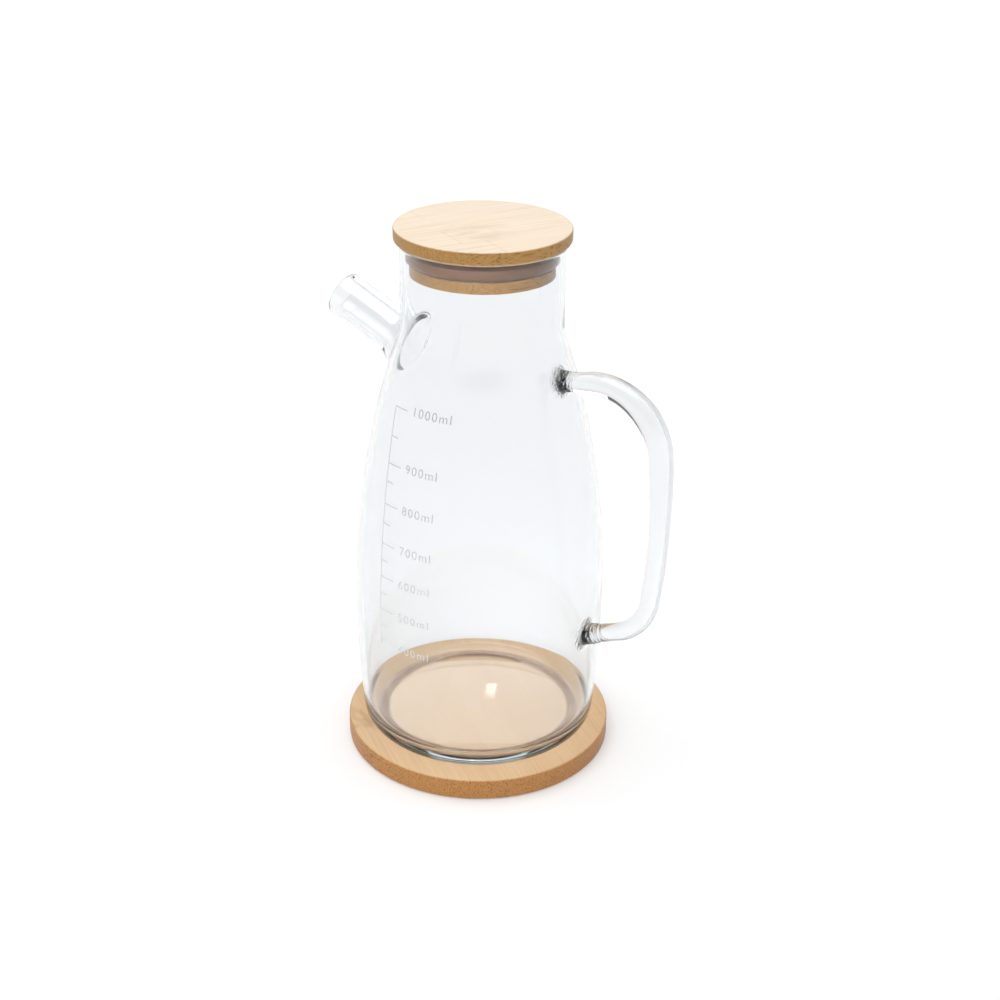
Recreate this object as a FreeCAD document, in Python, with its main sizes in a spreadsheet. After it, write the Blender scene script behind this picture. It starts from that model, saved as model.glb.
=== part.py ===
import FreeCAD, Part
import math
import os

import Sketcher
from FreeCAD import Vector

# A one-litre borosilicate jug: a blown body with a straight neck, a tubular pouring spout welded to
# its shoulder, and a bent glass rod welded on opposite the spout as the handle.  A turned bamboo
# stopper with a silicone seal closes the neck, and the jug stands on a bamboo coaster.
#
# Millimetres and degrees.  The origin is the centre of the coaster's underside and +Z is up.
# The spout points to -X, the handle to +X.

doc = FreeCAD.newDocument("GlassJug")

# ---------------------------------------------------------------------------------------------
# Driving dimensions.  Heights on the jug are measured from the face it stands on.
# ---------------------------------------------------------------------------------------------
DIMENSIONS = [
    ("coasterRadius", 56.0),
    ("coasterThickness", 9.5),
    ("coasterEdgeRound", 0.9),
    ("jugHeight", 211.0),
    ("neckRadius", 32.3),
    ("neckArcRadius", 25.0),
    ("shoulderArcRadius", 352.0),
    ("bellyRadius", 51.8),
    ("bellyHeight", 59.6),
    ("flankArcRadius", 570.0),
    ("heelArcRadius", 7.0),
    ("footRingInner", 36.0),
    ("pushUp", 1.6),
    ("wallThickness", 2.2),
    ("baseThickness", 4.0),
    ("cavityHeelRadius", 8.0),
    ("cutOverrun", 5.0),
    ("rimRound", 1.0),
    ("spoutRadius", 9.2),
    ("spoutBoreRadius", 7.1),
    ("spoutRise", 23.5),
    ("spoutRootReach", 36.3),
    ("spoutRootHeight", 162.7),
    ("spoutLength", 34.9),
    ("spoutTail", 14.0),
    ("spoutMouthRound", 0.9),
    ("spoutWeldRound", 3.0),
    ("spoutInnerRound", 2.0),
    ("rodUpperTail", 31.0),
    ("rodUpperRise", 10.0),
    ("rodUpperArc", 27.0),
    ("rodUpperReach", 54.7),
    ("rodUpperHeight", 137.0),
    ("rodCrownAngle", 45.0),
    ("rodGripArc", 300.0),
    ("rodGripHeight", 115.0),
    ("rodLowerArc", 22.0),
    ("rodLowerHeight", 79.8),
    ("rodLowerRise", 22.0),
    ("rodLowerTail", 46.0),
    ("rodRootDiameter", 7.4),
    ("rodCrownDiameter", 10.2),
    ("rodGripDiameter", 8.3),
    ("rodHeelDiameter", 7.8),
    ("rodWeldRound", 2.0),
    ("plateRadius", 34.6),
    ("plateThickness", 5.9),
    ("plateEdgeRound", 0.7),
    ("plugRadius", 28.4),
    ("plugDepth", 12.0),
    ("grooveRadius", 26.0),
    ("grooveTop", 1.6),
    ("grooveWidth", 5.4),
    ("sealWidth", 5.0),
    ("sealShoulder", 1.0),
]

sheet = doc.addObject("Spreadsheet::Sheet", "Dims")
for row, (alias, value) in enumerate(DIMENSIONS, start=1):
    sheet.set(f"A{row}", alias)
    sheet.set(f"B{row}", str(value))
    sheet.setAlias(f"B{row}", alias)
doc.recompute()


def size(alias):
    """Number held by one cell of the sheet."""
    return float(sheet.get(alias))


def origin_plane(body, role):
    return next(item for item in body.Origin.OriginFeatures if item.Role == role)


def new_sketch(body, name, role="XZ_Plane"):
    sketch = body.newObject("Sketcher::SketchObject", name)
    sketch.AttachmentSupport = [(origin_plane(body, role), "")]
    sketch.MapMode = "FlatFace"
    return sketch


def new_body(label):
    body = doc.addObject("PartDesign::Body", label)
    body.Label = label
    return body


def limit(sketch, kind, *where, name=None, formula=None):
    """Add one constraint; a formula ties its value to the sheet under the given name."""
    index = sketch.addConstraint(Sketcher.Constraint(kind, *where))
    if formula is not None:
        sketch.renameConstraint(index, name)
        sketch.setExpression(f"Constraints.{name}", formula)
    return index


START, END, CENTRE = 1, 2, 3
ORIGIN = (-1, 1)
X_AXIS, Y_AXIS = -1, -2


def arc(centre_x, centre_z, radius, first, last):
    """Arc in a sketch plane, counter-clockwise between two angles in radians."""
    circle = Part.Circle(Vector(centre_x, centre_z, 0), Vector(0, 0, 1), radius)
    return Part.ArcOfCircle(circle, first, last)


def segment(x1, z1, x2, z2):
    return Part.LineSegment(Vector(x1, z1, 0), Vector(x2, z2, 0))


# ---------------------------------------------------------------------------------------------
# Jug: blown body
# ---------------------------------------------------------------------------------------------
def draw_wall_line(sketch, inset, floor, top, heel):
    """Half outline of the blown body: domed foot, heel, flank, shoulder, neck and mouth.

    Each argument is a (number, formula) pair.  The inset moves the line in through the glass, so
    the same outline serves for the outside and for the cavity.  The arcs are drawn where they
    belong, and the constraints then hold them to the sheet.
    """
    belly = size("bellyRadius") - inset[0]
    belly_z = size("bellyHeight")
    neck = size("neckRadius") - inset[0]
    neck_arc = size("neckArcRadius") + inset[0]
    shoulder_arc = size("shoulderArcRadius") - inset[0]
    flank_arc = size("flankArcRadius") - inset[0]
    foot_in = size("footRingInner")
    push_up = size("pushUp")

    shoulder_x = belly - shoulder_arc
    flank_x = belly - flank_arc
    neck_x = neck + neck_arc
    shoulder_tip = math.acos((neck_x - shoulder_x) / (shoulder_arc + neck_arc))
    neck_z = belly_z + (shoulder_arc + neck_arc) * math.sin(shoulder_tip)
    heel_drop = belly_z - floor[0] - heel[0]
    heel_tip = -math.asin(heel_drop / (flank_arc - heel[0]))
    heel_x = flank_x + (flank_arc - heel[0]) * math.cos(heel_tip)
    dome = (foot_in ** 2 + push_up ** 2) / (2 * push_up)
    dome_edge = math.acos(foot_in / dome)

    pieces = [
        arc(shoulder_x, belly_z, shoulder_arc, 0, shoulder_tip),
        arc(flank_x, belly_z, flank_arc, heel_tip, 0),
        arc(heel_x, floor[0] + heel[0], heel[0], -math.pi / 2, heel_tip),
        segment(heel_x, floor[0], foot_in, floor[0]),
        arc(0, floor[0] + push_up - dome, dome, dome_edge, math.pi / 2),
        segment(0, floor[0] + push_up, 0, top[0]),
        segment(0, top[0], neck, top[0]),
        segment(neck, top[0], neck, neck_z),
        arc(neck_x, neck_z, neck_arc, math.pi, math.pi + shoulder_tip),
    ]
    shoulder, flank, heel_line, foot, dome_line, axis, lid_line, neck_line, neck_bend = (
        sketch.addGeometry(pieces, False)
    )

    limit(sketch, "Tangent", shoulder, START, flank, END)
    limit(sketch, "Tangent", flank, START, heel_line, END)
    limit(sketch, "Tangent", heel_line, START, foot, START)
    limit(sketch, "Coincident", foot, END, dome_line, START)
    limit(sketch, "Coincident", dome_line, END, axis, START)
    limit(sketch, "Coincident", axis, END, lid_line, START)
    limit(sketch, "Coincident", lid_line, END, neck_line, START)
    limit(sketch, "Tangent", neck_line, END, neck_bend, START)
    limit(sketch, "Tangent", neck_bend, END, shoulder, END)
    limit(sketch, "Horizontal", foot)
    limit(sketch, "Horizontal", lid_line)
    limit(sketch, "Vertical", neck_line)
    limit(sketch, "PointOnObject", dome_line, CENTRE, Y_AXIS)
    limit(sketch, "PointOnObject", axis, START, Y_AXIS)
    limit(sketch, "PointOnObject", axis, END, Y_AXIS)

    limit(sketch, "Radius", shoulder, shoulder_arc,
          name="shoulderArc", formula=f"Dims.shoulderArcRadius - {inset[1]}")
    limit(sketch, "Radius", flank, flank_arc,
          name="flankArc", formula=f"Dims.flankArcRadius - {inset[1]}")
    limit(sketch, "Radius", neck_bend, neck_arc,
          name="neckArc", formula=f"Dims.neckArcRadius + {inset[1]}")
    limit(sketch, "Radius", heel_line, heel[0], name="heel", formula=heel[1])
    limit(sketch, "DistanceY", *ORIGIN, shoulder, CENTRE, belly_z,
          name="shoulderLevel", formula="Dims.bellyHeight")
    limit(sketch, "DistanceY", *ORIGIN, flank, CENTRE, belly_z,
          name="flankLevel", formula="Dims.bellyHeight")
    limit(sketch, "DistanceX", *ORIGIN, flank, END, belly,
          name="belly", formula=f"Dims.bellyRadius - {inset[1]}")
    limit(sketch, "DistanceX", *ORIGIN, neck_line, START, neck,
          name="neck", formula=f"Dims.neckRadius - {inset[1]}")
    limit(sketch, "DistanceY", *ORIGIN, neck_line, START, top[0], name="top", formula=top[1])
    limit(sketch, "DistanceX", *ORIGIN, foot, END, foot_in,
          name="footRing", formula="Dims.footRingInner")
    if floor[0] == 0:
        limit(sketch, "PointOnObject", foot, END, X_AXIS)
    else:
        limit(sketch, "DistanceY", *ORIGIN, foot, END, floor[0], name="floor", formula=floor[1])
    limit(sketch, "DistanceY", *ORIGIN, dome_line, END, floor[0] + push_up,
          name="dome", formula=f"{floor[1]} + Dims.pushUp")


def revolve(body, name, sketch, axis="V_Axis", cut=False):
    kind = "PartDesign::Groove" if cut else "PartDesign::Revolution"
    feature = body.newObject(kind, name)
    feature.Profile = sketch
    feature.ReferenceAxis = (sketch, [axis])
    feature.Angle = 360
    doc.recompute()
    return feature


jug = new_body("jug")
jug.setExpression("Placement.Base.z", "Dims.coasterThickness")

outside = new_sketch(jug, "BodyOutside")
draw_wall_line(
    outside,
    inset=(0.0, "0"),
    floor=(0.0, "0"),
    top=(size("jugHeight"), "Dims.jugHeight"),
    heel=(size("heelArcRadius"), "Dims.heelArcRadius"),
)
doc.recompute()
blown = revolve(jug, "BlownBody", outside)

# ---------------------------------------------------------------------------------------------
# Jug: pouring spout, a straight tube that leaves the shoulder at a shallow rise
# ---------------------------------------------------------------------------------------------
def draw_tube(sketch, radius, beyond):
    """Half section of a round bar on the spout's axis, from inside the neck to the mouth.

    Both arguments are (number, formula) pairs; the second is a length added past the mouth.
    """
    rise = math.radians(size("spoutRise"))
    along = Vector(-math.cos(rise), math.sin(rise), 0)
    across = Vector(math.sin(rise), math.cos(rise), 0)
    root = Vector(-size("spoutRootReach"), size("spoutRootHeight"), 0)
    tail = root - along * size("spoutTail")
    mouth = root + along * (size("spoutLength") + beyond[0])
    corners = [tail, mouth, mouth + across * radius[0], tail + across * radius[0]]

    sides = [Part.LineSegment(a, b) for a, b in zip(corners, corners[1:] + corners[:1])]
    middle, end, flank, back = sketch.addGeometry(sides, False)
    axis = sketch.addGeometry(Part.LineSegment(tail, mouth), True)
    anchor = sketch.addGeometry(Part.Point(root), True)

    for first, second in ((middle, end), (end, flank), (flank, back), (back, middle)):
        limit(sketch, "Coincident", first, END, second, START)
    limit(sketch, "Coincident", axis, START, middle, START)
    limit(sketch, "Coincident", axis, END, middle, END)
    limit(sketch, "Perpendicular", middle, end)
    limit(sketch, "Perpendicular", middle, back)
    limit(sketch, "Parallel", middle, flank)
    limit(sketch, "PointOnObject", anchor, START, axis)
    limit(sketch, "Angle", axis, math.pi - rise,
          name="rise", formula="180 deg - Dims.spoutRise * 1 deg")
    limit(sketch, "DistanceX", anchor, START, *ORIGIN, size("spoutRootReach"),
          name="rootReach", formula="Dims.spoutRootReach")
    limit(sketch, "DistanceY", *ORIGIN, anchor, START, size("spoutRootHeight"),
          name="rootHeight", formula="Dims.spoutRootHeight")
    limit(sketch, "Distance", anchor, START, axis, START, size("spoutTail"),
          name="tail", formula="Dims.spoutTail")
    limit(sketch, "Distance", anchor, START, axis, END, size("spoutLength") + beyond[0],
          name="length", formula=f"Dims.spoutLength + {beyond[1]}")
    limit(sketch, "Distance", end, radius[0], name="radius", formula=radius[1])


spout_line = new_sketch(jug, "SpoutOutside")
draw_tube(spout_line, radius=(size("spoutRadius"), "Dims.spoutRadius"), beyond=(0.0, "0"))
doc.recompute()
spout = revolve(jug, "SpoutTube", spout_line, axis="Axis0")


# ---------------------------------------------------------------------------------------------
# Jug: handle, a solid rod bent to a hand's width and thickest at the bend that the thumb meets
# ---------------------------------------------------------------------------------------------
def draw_rod_path(sketch):
    """Centre line of the handle: out of the shoulder, over the crown, down the grip, in to the belly.

    The upper bend is two arcs about one centre, so that the rod's thickest section has a place
    between them.
    """
    upper_rise = math.radians(size("rodUpperRise"))
    lower_rise = math.radians(size("rodLowerRise"))
    crown = math.radians(size("rodCrownAngle"))
    upper_x, upper_z, upper_arc = size("rodUpperReach"), size("rodUpperHeight"), size("rodUpperArc")
    grip_z, grip_arc = size("rodGripHeight"), size("rodGripArc")
    lower_z, lower_arc = size("rodLowerHeight"), size("rodLowerArc")

    upper_tip = math.asin((upper_z - grip_z) / (grip_arc - upper_arc))
    grip_x = upper_x - (grip_arc - upper_arc) * math.cos(upper_tip)
    lower_tip = -math.asin((grip_z - lower_z) / (grip_arc - lower_arc))
    lower_x = grip_x + (grip_arc - lower_arc) * math.cos(lower_tip)

    upper_start = math.pi / 2 + upper_rise
    bend_x = upper_x + upper_arc * math.cos(upper_start)
    bend_z = upper_z + upper_arc * math.sin(upper_start)
    upper_tail = size("rodUpperTail")
    lower_end = lower_rise - math.pi / 2
    heel_x = lower_x + lower_arc * math.cos(lower_end)
    heel_z = lower_z + lower_arc * math.sin(lower_end)
    lower_tail = size("rodLowerTail")

    crown_x = upper_x + upper_arc * math.cos(crown)
    crown_z = upper_z + upper_arc * math.sin(crown)
    pieces = [
        segment(upper_tail, bend_z - (bend_x - upper_tail) * math.tan(upper_rise), bend_x, bend_z),
        arc(upper_x, upper_z, upper_arc, crown, upper_start),
        arc(upper_x, upper_z, upper_arc, upper_tip, crown),
        arc(grip_x, grip_z, grip_arc, lower_tip, upper_tip),
        arc(lower_x, lower_z, lower_arc, lower_end, lower_tip),
        segment(lower_tail, heel_z - (heel_x - lower_tail) * math.tan(lower_rise), heel_x, heel_z),
    ]
    shoulder, rising, falling, grip, heel, foot = sketch.addGeometry(pieces, False)
    spoke = sketch.addGeometry(segment(upper_x, upper_z, crown_x, crown_z), True)

    limit(sketch, "Tangent", shoulder, END, rising, END)
    limit(sketch, "Coincident", rising, START, falling, END)
    limit(sketch, "Coincident", rising, CENTRE, falling, CENTRE)
    limit(sketch, "Tangent", falling, START, grip, END)
    limit(sketch, "Tangent", grip, START, heel, END)
    limit(sketch, "Tangent", heel, START, foot, END)
    limit(sketch, "Coincident", spoke, START, rising, CENTRE)
    limit(sketch, "Coincident", spoke, END, rising, START)
    limit(sketch, "Angle", spoke, crown, name="crown", formula="Dims.rodCrownAngle * 1 deg")
    limit(sketch, "Angle", shoulder, upper_rise,
          name="upperRise", formula="Dims.rodUpperRise * 1 deg")
    limit(sketch, "Angle", foot, lower_rise, name="lowerRise", formula="Dims.rodLowerRise * 1 deg")
    limit(sketch, "Radius", rising, upper_arc, name="upperArc", formula="Dims.rodUpperArc")
    limit(sketch, "Radius", grip, grip_arc, name="gripArc", formula="Dims.rodGripArc")
    limit(sketch, "Radius", heel, lower_arc, name="lowerArc", formula="Dims.rodLowerArc")
    limit(sketch, "DistanceX", *ORIGIN, rising, CENTRE, upper_x,
          name="upperReach", formula="Dims.rodUpperReach")
    limit(sketch, "DistanceY", *ORIGIN, rising, CENTRE, upper_z,
          name="upperHeight", formula="Dims.rodUpperHeight")
    limit(sketch, "DistanceY", *ORIGIN, grip, CENTRE, grip_z,
          name="gripHeight", formula="Dims.rodGripHeight")
    limit(sketch, "DistanceY", *ORIGIN, heel, CENTRE, lower_z,
          name="lowerHeight", formula="Dims.rodLowerHeight")
    limit(sketch, "DistanceX", *ORIGIN, shoulder, START, upper_tail,
          name="upperTail", formula="Dims.rodUpperTail")
    limit(sketch, "DistanceX", *ORIGIN, foot, START, lower_tail,
          name="lowerTail", formula="Dims.rodLowerTail")


def rod_section(name, path_edge, part_way, diameter):
    """Round section square to one edge of the rod's path, part_way from 0 to 1 along it."""
    sketch = jug.newObject("Sketcher::SketchObject", name)
    sketch.AttachmentSupport = [(rod_path, path_edge)]
    sketch.MapMode = "NormalToEdge"
    sketch.MapPathParameter = part_way
    circle = Part.Circle(Vector(0, 0, 0), Vector(0, 0, 1), size(diameter) / 2)
    ring = sketch.addGeometry(circle, False)
    limit(sketch, "Coincident", ring, CENTRE, *ORIGIN)
    limit(sketch, "Diameter", ring, size(diameter), name="diameter", formula=f"Dims.{diameter}")
    return sketch


rod_path = new_sketch(jug, "HandlePath")
draw_rod_path(rod_path)
doc.recompute()

rod = jug.newObject("PartDesign::AdditivePipe", "HandleRod")
rod.Spine = (rod_path, [])
rod.Profile = rod_section("RodShoulder", "Edge1", 0.0, "rodRootDiameter")
rod.Transformation = "Multisection"
rod.Sections = [
    rod_section("RodCrown", "Edge2", 0.0, "rodCrownDiameter"),
    rod_section("RodGrip", "Edge4", 0.5, "rodGripDiameter"),
    rod_section("RodHeel", "Edge5", 0.5, "rodHeelDiameter"),
    rod_section("RodFoot", "Edge6", 0.0, "rodRootDiameter"),
]
doc.recompute()


# ---------------------------------------------------------------------------------------------
# Jug: welds, cavity, bore of the spout and fire-polished rims
# ---------------------------------------------------------------------------------------------
CLOSE = 0.05


def edges_where(feature, test):
    """Names of the feature's edges of which every sampled point passes the test."""
    names = []
    for number, edge in enumerate(feature.Shape.Edges, start=1):
        if edge.Degenerated:
            continue
        first, last = edge.ParameterRange
        points = [edge.valueAt(first + (last - first) * part / 8) for part in range(9)]
        if all(test(point) for point in points):
            names.append(f"Edge{number}")
    return names


def round_edges(body, name, base, names, radius):
    """Fillet the named edges and stop if it leaves the solid unchanged."""
    feature = body.newObject("PartDesign::Fillet", name)
    feature.Base = (base, names)
    feature.setExpression("Radius", f"Dims.{radius}")
    doc.recompute()
    if abs(feature.Shape.Volume - base.Shape.Volume) < 1e-3:
        raise RuntimeError(f"{name} changed nothing")
    return feature


def cut_volume(before, after):
    """Groove result that has really taken glass away."""
    if after.Shape.Volume >= before.Shape.Volume:
        raise RuntimeError(f"{after.Name} cut nothing")
    return after


def from_spout_axis(point):
    """How far a point is from the spout's axis, and how far along it from the root."""
    rise = math.radians(size("spoutRise"))
    along = Vector(-math.cos(rise), 0, math.sin(rise))
    arm = point - Vector(-size("spoutRootReach"), 0, size("spoutRootHeight"))
    reach = arm.dot(along)
    return (arm - along * reach).Length, reach


def at_spout_root(radius):
    """Test for the edge where a bar of this radius on the spout's axis meets the wall."""
    def test(point):
        off, reach = from_spout_axis(point)
        return abs(off - size(radius)) < CLOSE and reach < size("spoutLength") / 2
    return test


def at_spout_mouth(point):
    return abs(from_spout_axis(point)[1] - size("spoutLength")) < CLOSE


def at_rim(point):
    return abs(point.z - size("jugHeight")) < CLOSE


def on_outer_wall(point):
    rise = point.z - size("bellyHeight")
    bend = size("shoulderArcRadius") if rise > 0 else size("flankArcRadius")
    radius = size("bellyRadius") - bend + math.sqrt(bend ** 2 - rise ** 2)
    return abs(math.hypot(point.x, point.y) - radius) < CLOSE


def at_rod_root(feature):
    """Edges where the rod meets the wall: on the wall, and off the seam that runs under the rod."""
    names = edges_where(feature, lambda point: point.x > 0 and on_outer_wall(point))
    edges = {name: feature.getSubObject(name) for name in names}
    return [name for name, edge in edges.items() if edge.BoundBox.YLength > 1.0]


spout_weld = round_edges(jug, "SpoutWeld", rod, edges_where(rod, at_spout_root("spoutRadius")),
                         "spoutWeldRound")
rod_welds = round_edges(jug, "HandleWelds", spout_weld, at_rod_root(spout_weld), "rodWeldRound")

cavity_line = new_sketch(jug, "CavityLine")
draw_wall_line(
    cavity_line,
    inset=(size("wallThickness"), "Dims.wallThickness"),
    floor=(size("baseThickness"), "Dims.baseThickness"),
    top=(size("jugHeight") + size("cutOverrun"), "Dims.jugHeight + Dims.cutOverrun"),
    heel=(size("cavityHeelRadius"), "Dims.cavityHeelRadius"),
)
doc.recompute()
cavity = cut_volume(rod_welds, revolve(jug, "Cavity", cavity_line, cut=True))

bore_line = new_sketch(jug, "SpoutBoreLine")
draw_tube(
    bore_line,
    radius=(size("spoutBoreRadius"), "Dims.spoutBoreRadius"),
    beyond=(size("cutOverrun"), "Dims.cutOverrun"),
)
doc.recompute()
bore = cut_volume(cavity, revolve(jug, "SpoutBore", bore_line, axis="Axis0", cut=True))

bore_root = round_edges(jug, "BoreRound", bore, edges_where(bore, at_spout_root("spoutBoreRadius")),
                        "spoutInnerRound")
mouth = round_edges(jug, "MouthRound", bore_root, edges_where(bore_root, at_spout_mouth),
                    "spoutMouthRound")
jug.Tip = round_edges(jug, "RimRound", mouth, edges_where(mouth, at_rim), "rimRound")


# ---------------------------------------------------------------------------------------------
# Bamboo stopper: a plate that sits on the rim, and a plug with a groove for the seal
# ---------------------------------------------------------------------------------------------
def disc(body, name, radius, thickness, downwards=False):
    """Round pad on the body's XY plane."""
    sketch = new_sketch(body, f"{name}Circle", "XY_Plane")
    circle = Part.Circle(Vector(0, 0, 0), Vector(0, 0, 1), size(radius))
    ring = sketch.addGeometry(circle, False)
    limit(sketch, "Coincident", ring, CENTRE, *ORIGIN)
    limit(sketch, "Radius", ring, size(radius), name="radius", formula=f"Dims.{radius}")
    pad = body.newObject("PartDesign::Pad", name)
    pad.Profile = sketch
    pad.Reversed = downwards
    pad.setExpression("Length", f"Dims.{thickness}")
    doc.recompute()
    return pad


def circles_of(feature, radius):
    """The feature's round edges of one radius."""
    return edges_where(feature, lambda point: abs(math.hypot(point.x, point.y) - size(radius)) < CLOSE)


def draw_groove(sketch):
    """Square groove round the plug, a little below the plate."""
    inner, outer = size("grooveRadius"), size("plugRadius") + size("cutOverrun")
    top, width = -size("grooveTop"), size("grooveWidth")
    corners = [(inner, top), (outer, top), (outer, top - width), (inner, top - width)]
    sides = [segment(*a, *b) for a, b in zip(corners, corners[1:] + corners[:1])]
    upper, far, lower, near = sketch.addGeometry(sides, False)
    for first, second in ((upper, far), (far, lower), (lower, near), (near, upper)):
        limit(sketch, "Coincident", first, END, second, START)
    limit(sketch, "Horizontal", upper)
    limit(sketch, "Horizontal", lower)
    limit(sketch, "Vertical", far)
    limit(sketch, "Vertical", near)
    limit(sketch, "DistanceX", *ORIGIN, upper, START, inner,
          name="inner", formula="Dims.grooveRadius")
    limit(sketch, "DistanceX", *ORIGIN, upper, END, outer,
          name="outer", formula="Dims.plugRadius + Dims.cutOverrun")
    limit(sketch, "DistanceY", upper, START, *ORIGIN, -top, name="top", formula="Dims.grooveTop")
    limit(sketch, "DistanceY", lower, END, upper, START, width,
          name="width", formula="Dims.grooveWidth")


lid = new_body("lid")
lid.setExpression("Placement.Base.z", "Dims.coasterThickness + Dims.jugHeight")
plate = disc(lid, "Plate", "plateRadius", "plateThickness")
plug = disc(lid, "Plug", "plugRadius", "plugDepth", downwards=True)
plate_round = round_edges(lid, "PlateRound", plug, circles_of(plug, "plateRadius"),
                          "plateEdgeRound")
groove_line = new_sketch(lid, "GrooveLine")
draw_groove(groove_line)
doc.recompute()
lid.Tip = cut_volume(plate_round, revolve(lid, "SealGroove", groove_line, cut=True))


# ---------------------------------------------------------------------------------------------
# Silicone seal: a ring in the plug's groove whose crown presses on the inside of the neck
# ---------------------------------------------------------------------------------------------
def draw_seal(sketch):
    """Section of the ring: straight against the groove, crowned towards the glass."""
    inner, crown = size("grooveRadius"), size("neckRadius") - size("wallThickness")
    edge = crown - size("sealShoulder")
    middle = -size("grooveTop") - size("grooveWidth") / 2
    half = size("sealWidth") / 2
    bend = (half ** 2 + size("sealShoulder") ** 2) / (2 * size("sealShoulder"))
    spread = math.asin(half / bend)
    pieces = [
        arc(crown - bend, middle, bend, -spread, spread),
        segment(edge, middle + half, inner, middle + half),
        segment(inner, middle + half, inner, middle - half),
        segment(inner, middle - half, edge, middle - half),
    ]
    face, upper, back, lower = sketch.addGeometry(pieces, False)
    tip = sketch.addGeometry(Part.Point(Vector(crown, middle, 0)), True)
    limit(sketch, "Coincident", face, END, upper, START)
    limit(sketch, "Coincident", upper, END, back, START)
    limit(sketch, "Coincident", back, END, lower, START)
    limit(sketch, "Coincident", lower, END, face, START)
    limit(sketch, "Horizontal", upper)
    limit(sketch, "Horizontal", lower)
    limit(sketch, "Vertical", back)
    limit(sketch, "PointOnObject", tip, START, face)
    limit(sketch, "Horizontal", tip, START, face, CENTRE)
    limit(sketch, "Vertical", face, START, face, END)
    limit(sketch, "DistanceX", *ORIGIN, back, START, inner,
          name="inner", formula="Dims.grooveRadius")
    limit(sketch, "DistanceX", *ORIGIN, tip, START, crown,
          name="crown", formula="Dims.neckRadius - Dims.wallThickness")
    limit(sketch, "DistanceX", face, END, tip, START, size("sealShoulder"),
          name="shoulder", formula="Dims.sealShoulder")
    limit(sketch, "DistanceY", tip, START, *ORIGIN, -middle,
          name="level", formula="Dims.grooveTop + Dims.grooveWidth / 2")
    limit(sketch, "DistanceY", lower, END, upper, START, 2 * half,
          name="width", formula="Dims.sealWidth")


seal = new_body("seal")
seal.setExpression("Placement.Base.z", "Dims.coasterThickness + Dims.jugHeight")
seal_line = new_sketch(seal, "SealLine")
draw_seal(seal_line)
doc.recompute()
revolve(seal, "SealRing", seal_line)

# ---------------------------------------------------------------------------------------------
# Bamboo coaster: a plain disc with eased edges
# ---------------------------------------------------------------------------------------------
coaster = new_body("coaster")
blank = disc(coaster, "Blank", "coasterRadius", "coasterThickness")
coaster.Tip = round_edges(coaster, "EdgeRound", blank, circles_of(blank, "coasterRadius"),
                          "coasterEdgeRound")

# ---------------------------------------------------------------------------------------------
# Checks and export
# ---------------------------------------------------------------------------------------------
doc.recompute()
NODES = [jug, lid, seal, coaster]
for item in doc.Objects:
    if "Invalid" in item.State or "Error" in item.State:
        raise RuntimeError(f"{item.Name} failed: {item.State}")
    if item.isDerivedFrom("Sketcher::SketchObject") and not item.FullyConstrained:
        raise RuntimeError(f"{item.Name} is not fully constrained")
for node in NODES:
    if node.Shape.isNull() or not node.Shape.isValid() or len(node.Shape.Solids) != 1:
        raise RuntimeError(f"{node.Label} is not one valid solid")

os.makedirs("parts", exist_ok=True)
for node in NODES:
    node.Shape.exportStep(f"parts/{node.Label}.step")
    print(f"{node.Label}: {node.Shape.Volume / 1000:.1f} cm3, {len(node.Shape.Faces)} faces")
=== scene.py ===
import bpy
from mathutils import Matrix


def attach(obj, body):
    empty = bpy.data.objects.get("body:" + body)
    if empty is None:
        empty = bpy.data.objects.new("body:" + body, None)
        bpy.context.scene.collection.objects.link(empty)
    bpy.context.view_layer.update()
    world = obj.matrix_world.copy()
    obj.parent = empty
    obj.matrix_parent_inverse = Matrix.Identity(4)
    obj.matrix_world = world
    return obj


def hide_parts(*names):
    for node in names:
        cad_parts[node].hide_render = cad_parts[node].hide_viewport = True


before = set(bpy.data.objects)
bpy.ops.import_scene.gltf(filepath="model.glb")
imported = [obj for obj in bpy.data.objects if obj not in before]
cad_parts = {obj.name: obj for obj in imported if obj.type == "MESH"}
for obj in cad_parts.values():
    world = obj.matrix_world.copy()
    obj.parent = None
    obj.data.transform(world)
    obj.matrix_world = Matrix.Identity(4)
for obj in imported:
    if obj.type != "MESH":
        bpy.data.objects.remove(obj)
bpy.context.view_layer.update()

import math

import bmesh
import bpy
from mathutils import Matrix, Vector

# ---------------------------------------------------------------------------------------------
# Studio: a white sweep under an overhead silk, with a soft fill in front and a window behind, whose
# one bare pane glints in the jug's base.  The camera looks down from the front left.
# ---------------------------------------------------------------------------------------------
MM = 0.001


def hex_colour(code):
    """Linear RGBA of an sRGB hex colour."""
    channels = [int(code[i:i + 2], 16) / 255 for i in (1, 3, 5)]
    return [c / 12.92 if c <= 0.04045 else ((c + 0.055) / 1.055) ** 2.4 for c in channels] + [1.0]


def add_node(owner, kind, values=None, **settings):
    """Add a node to a material or world; a value is a number, a colour or another node's socket."""
    node = owner.node_tree.nodes.new(kind)
    for name, setting in settings.items():
        setattr(node, name, setting)
    for name, value in (values or {}).items():
        if isinstance(value, bpy.types.NodeSocket):
            owner.node_tree.links.new(value, node.inputs[name])
        else:
            node.inputs[name].default_value = value
    return node


def new_material(name):
    material = bpy.data.materials.new(name)
    material.use_nodes = True
    material.node_tree.nodes.clear()
    return material


def seen_directly(owner):
    """1 for a ray that the camera sees, straight or through glass or in a gloss, else 0."""
    rays = add_node(owner, "ShaderNodeLightPath")
    gloss = add_node(owner, "ShaderNodeMath", operation="MAXIMUM",
                     values={0: rays.outputs["Is Camera Ray"], 1: rays.outputs["Is Glossy Ray"]})
    both = add_node(owner, "ShaderNodeMath", operation="MAXIMUM",
                    values={0: gloss.outputs[0], 1: rays.outputs["Is Transmission Ray"]})
    return both.outputs[0]


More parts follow.
